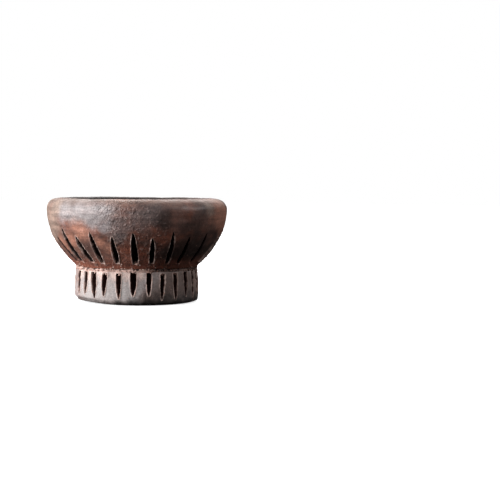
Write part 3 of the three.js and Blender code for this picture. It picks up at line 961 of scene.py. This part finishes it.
def burnished_clay():
    """Smoke-fired and burnished: brown with smoke, ash and orange clouds, redder just above the joint.
    Painted highlights lie on its upper left, painted shade on its right side, in its pits and over the
    back of its mouth.
    """
    clay = Shader("burnished_clay")
    wander = clay.maths("MULTIPLY", clay.noise(9 * MM, 4), 6 * MM)
    level = clay.maths("ADD", clay.height(), wander)
    smoke = clay.span(clay.noise(24 * MM, 5, 0.6, 0.6), 0.36, 0.64)
    colour = clay.mix(smoke, BROWN_CLAY, SMOKED_CLAY)
    red = clay.span(clay.noise(13 * MM, 5, 0.6, 0.4), 0.44, 0.7)
    colour = clay.mix(red, colour, RED_CLAY, strength=0.35)
    for clouds, tint, strength in (
        (ASH_AND_HIGHLIGHT_CLOUDS, ASH_BLOOM_AND_HIGHLIGHT, 0.9),
        (BEIGE_AND_HIGHLIGHT_CLOUDS, BEIGE_BLOOM_AND_HIGHLIGHT, 0.85),
        (GREY_CLOUDS, GREY_BLOOM, 0.7),
        (RED_CLOUDS, LOW_RED, 0.55),
        (SMOKE_AND_SHADE_CLOUDS, CHARCOAL_AND_SHADE, 0.8),
        (ORANGE_CLOUDS, TERRACOTTA, 0.9),
    ):
        colour = clay.clouded(colour, clouds, tint, strength)
    low_band = clay.span(level, JOINT_HEIGHT + 4 * MM, JOINT_HEIGHT + 13 * MM, 1, 0)
    colour = clay.mix(low_band, colour, LOW_RED, strength=0.85)
    mottle = clay.span(clay.noise(3.2 * MM, 6, 0.72), 0.34, 0.66)
    colour = clay.shaded(colour, mottle, MOTTLE_TONES, 0.4)
    streaks = clay.span(clay.noise(5 * MM, 4, 0.6, 0, clay.turned(8 * MM, 2.2)), 0.3, 0.7)
    colour = clay.shaded(colour, streaks, STREAK_TONES, 0.6)
    soot = clay.span(clay.noise(12 * MM, 5, 0.6), 0.35, 0.65)
    # The hollow's colour: soot, and painted shade over the back of the mouth.
    sooty_and_shaded = clay.mix(soot, CHARCOAL_AND_SHADE, SMOKED_CLAY)
    colour = clay.mix(clay.mask("hollow"), colour, sooty_and_shaded, strength=0.9)
    colour = clay.mix(clay.mask("rim"), colour, WORN_RIM, strength=0.27)
    colour = clay.mix(clay.mask("lip"), colour, LIP_SOOT_AND_SHADE, strength=0.85)
    roughness = clay.span(clay.noise(6 * MM, 5, 0.6), 0.3, 0.7, 0.34, 0.52)
    crest = clay.span(level, RIM_HEIGHT - 2 * MM, RIM_HEIGHT + 1.5 * MM)
    dull = clay.maths("MULTIPLY", clay.maths("ADD", low_band, crest), 0.3)
    dull = clay.maths("MAXIMUM", dull, clay.maths("MULTIPLY", clay.mask("hollow"), 0.35))
    dull = clay.maths("MAXIMUM", dull, clay.maths("MULTIPLY", clay.mask("lip"), 0.5))
    roughness = clay.maths("ADD", roughness, dull)
    clay.surface.inputs["Specular IOR Level"].default_value = 0.62
    return clay_detail(clay, colour, roughness, 0.45, clay.mask("pitted"))


def matt_clay():
    """The foot: ashy grey over brown, pinkish where ash has rubbed off, with painted light on its front
    left and painted shade on its right and along its lower edge.
    """
    clay = Shader("matt_clay")
    wander = clay.maths("MULTIPLY", clay.noise(5 * MM, 4), 3 * MM)
    level = clay.maths("ADD", clay.height(), wander)
    ash = clay.span(clay.noise(16 * MM, 5, 0.6, 0.3), 0.35, 0.6)
    colour = clay.mix(ash, BROWN_FOOT, ASHY_FOOT)
    pink = clay.span(clay.noise(7 * MM, 5, 0.6), 0.5, 0.7)
    colour = clay.mix(pink, colour, PINK_CLAY, strength=0.4)
    mottle = clay.span(clay.noise(2.6 * MM, 6, 0.7), 0.34, 0.66)
    colour = clay.shaded(colour, mottle, FOOT_TONES, 0.35)
    colour = clay.clouded(colour, FOOT_ASH_AND_LIGHT, PALE_ASH_AND_LIGHT, 0.75)
    colour = clay.clouded(colour, FOOT_PINK_AND_LIGHT, PINK_ASH_AND_LIGHT, 0.85)
    colour = clay.clouded(colour, FOOT_SMOKE_AND_SHADE, SMOKED_AND_SHADED_FOOT, 0.85)
    # Painted shade: darker towards the bottom edge all round.
    edge = clay.span(level, 1.5 * MM, 5.5 * MM, 1, 0)
    colour = clay.mix(edge, colour, SHADED_FOOT_EDGE, strength=0.88)
    colour = clay.clouded(colour, FOOT_SHADE_CLOUDS, BLACK_SHADE, 0.95)
    roughness = clay.span(clay.noise(5 * MM, 5, 0.6), 0.3, 0.7, 0.5, 0.75)
    return clay_detail(clay, colour, roughness, 0.5, core_and_shade=FOOT_CORE_AND_SHADE)


def slip_clay():
    """The luting slip: unburnished, pale and crumbly, with painted light to the left and painted shade to
    the right.
    """
    clay = Shader("slip_clay")
    tone = clay.span(clay.noise(2.5 * MM, 5, 0.7), 0.35, 0.65)
    colour = clay.mix(tone, RED_SLIP, TAN_SLIP)
    colour = clay.clouded(colour, SLIP_LIGHT_CLOUDS, LIT_SLIP, 0.6)
    colour = clay.clouded(colour, SLIP_SHADE_CLOUDS, SHADED_SLIP, 0.85)
    return clay_detail(clay, colour, 0.85, 0.6)


def cotton():
    """Raw cotton wool: warm white, greyer between its strands."""
    wool = Shader("cotton")
    tone = wool.span(wool.noise(0.8 * MM, 5, 0.7), 0.3, 0.7)
    colour = wool.mix(tone, CREAM_WOOL, WHITE_WOOL)
    fold = wool.span(wool.mask("fold"), -0.9, 0.2, 1, 0)
    colour = wool.mix(fold, colour, SHADED_WOOL, strength=0.6)
    roughness = wool.span(wool.noise(0.5 * MM, 3), 0.3, 0.7, 0.85, 1.0)
    strands = wool.noise(0.3 * MM, 4, 0.6, 0, wool.vector("MULTIPLY", wool.place, (1, 1, 0.3)))
    normal = wool.bump(strands, 0.5, 0.12 * MM)
    return wool.finish(
        {"Base Color": colour, "Roughness": roughness, "Normal": normal, "Sheen Weight": 0.3}
    )


# ---- studio ----

CAMERA_PLACE = Vector((63 * MM, -700 * MM, 68 * MM))
CAMERA_PITCH = 3.145  # degrees below the horizon
CAMERA_ROLL = 0.68
LENS = 90.4
SENSOR = 36

LIGHTS = (  # name, azimuth and elevation in degrees, distance, width and height, power in watts
    ("key", -68, 15, 0.8, (0.95, 0.5), 14),
    ("top", 180, 45, 0.8, (0.6, 0.4), 7),
    ("side", 84, 30, 0.9, (0.35, 0.35), 2.3),
)

FLOOR_REACH = 3.0
FLOOR_CENTRE = 0.002  # the radius of the floor's innermost ring
CEILING = {"From Min": -0.1, "From Max": 0.7, "To Min": 0.006, "To Max": 0.25}  # rise to strength


def make_camera():
    """A long lens in front of the lamp, a little to its right, that looks slightly down."""
    data = bpy.data.cameras.new("camera")
    data.lens = LENS
    data.sensor_width = SENSOR
    camera = bpy.data.objects.new("camera", data)
    camera.location = CAMERA_PLACE
    level = Euler((math.radians(90 - CAMERA_PITCH), 0, 0)).to_matrix()
    camera.rotation_euler = (level @ Matrix.Rotation(math.radians(CAMERA_ROLL), 3, "Z")).to_euler()
    bpy.context.scene.collection.objects.link(camera)
    bpy.context.scene.camera = camera


def make_light(name, azimuth, elevation, distance, size, power):
    """A soft panel that faces the lamp's middle."""
    data = bpy.data.lights.new(name, "AREA")
    data.shape = "RECTANGLE"
    data.size, data.size_y = size
    data.energy = power
    light = bpy.data.objects.new(name, data)
    flat = distance * math.cos(math.radians(elevation))
    rise = distance * math.sin(math.radians(elevation))
    target = Vector((0, 0, RIM_HEIGHT / 2))
    light.location = target + Vector(round_axis(azimuth, flat, rise))
    light.rotation_euler = (target - light.location).to_track_quat("-Z", "Y").to_euler()
    light.visible_camera = False
    bpy.context.scene.collection.objects.link(light)


def make_floor():
    """A wide pale sheet that lights nothing and is as white as the surroundings away from the lamp."""
    rings, segments = 24, 96
    radii = np.geomspace(FLOOR_CENTRE, FLOOR_REACH, rings)[:, None]
    points = round_axis(np.linspace(0, 360, segments, endpoint=False)[None], radii, 0.0)
    faces, _ = ring_grid(rings, segments, close_rows=False)
    floor = finish_mesh("floor", points.reshape(-1, 3), faces + [list(range(segments))], {})
    shader = Shader("pale_floor")
    tone = shader.span(shader.noise(0.05, 3), 0.2, 0.8)
    colour = shader.mix(tone, (0.88, 0.88, 0.88), (0.9, 0.9, 0.9))
    glow = shader.span(shader.distance((0, 0, 0)), 0.06, 0.2, 0.72, 1.0)
    floor.data.materials.append(shader.finish({
        "Base Color": colour, "Roughness": 0.9, "Specular IOR Level": 0.1,
        "Emission Color": (1, 1, 1), "Emission Strength": glow,
    }))
    floor.visible_diffuse = False
    floor.visible_glossy = False


def make_surroundings():
    """White where the camera sees past the floor. As a light, a dim ceiling and nothing from below."""
    world = bpy.data.worlds.new("surroundings")
    world.use_nodes = True
    bpy.context.scene.world = world
    nodes, link = world.node_tree.nodes, world.node_tree.links.new
    background = nodes["Background"]
    background.inputs["Color"].default_value = (1, 1, 1, 1)
    seen = nodes.new("ShaderNodeLightPath")
    direction = nodes.new("ShaderNodeTexCoord")
    parts = nodes.new("ShaderNodeSeparateXYZ")
    ceiling = nodes.new("ShaderNodeMapRange")
    for socket, number in CEILING.items():
        ceiling.inputs[socket].default_value = number
    strength = nodes.new("ShaderNodeMix")
    strength.inputs[3].default_value = 1.0
    link(direction.outputs["Generated"], parts.inputs[0])
    link(parts.outputs["Z"], ceiling.inputs["Value"])
    link(seen.outputs["Is Camera Ray"], strength.inputs[0])
    link(ceiling.outputs["Result"], strength.inputs[2])
    link(strength.outputs[0], background.inputs["Strength"])


# ---- the scene ----

make_camera()
make_floor()
make_surroundings()
for light in LIGHTS:
    make_light(*light)

materials = {
    "burnished_clay": burnished_clay(), "matt_clay": matt_clay(),
    "slip_clay": slip_clay(), "cotton": cotton(),
}


def dress(piece, slot_name, body, *nodes):
    """Gives a piece its material and its body, and hides the frame's nodes that it stands for."""
    piece.data.materials.append(materials[slot_name])
    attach(piece, body)
    if nodes:
        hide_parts(*nodes)


slashes, slots = bowl_cuts(), foot_cuts()
dress(make_bowl(slashes), "burnished_clay", LAMP_BODY, "bowl")
dress(make_foot(slots), "matt_clay", LAMP_BODY, "foot_ring")
dress(make_bead(), "slip_clay", LAMP_BODY, "luting_coil")
dress(make_crumbs(slashes, slots), "slip_clay", LAMP_BODY)
dress(make_wick(), "cotton", WICK_BODY, "wick")
dress(make_fibres(), "cotton", WICK_BODY)

bpy.context.scene.view_settings.view_transform = "Standard"
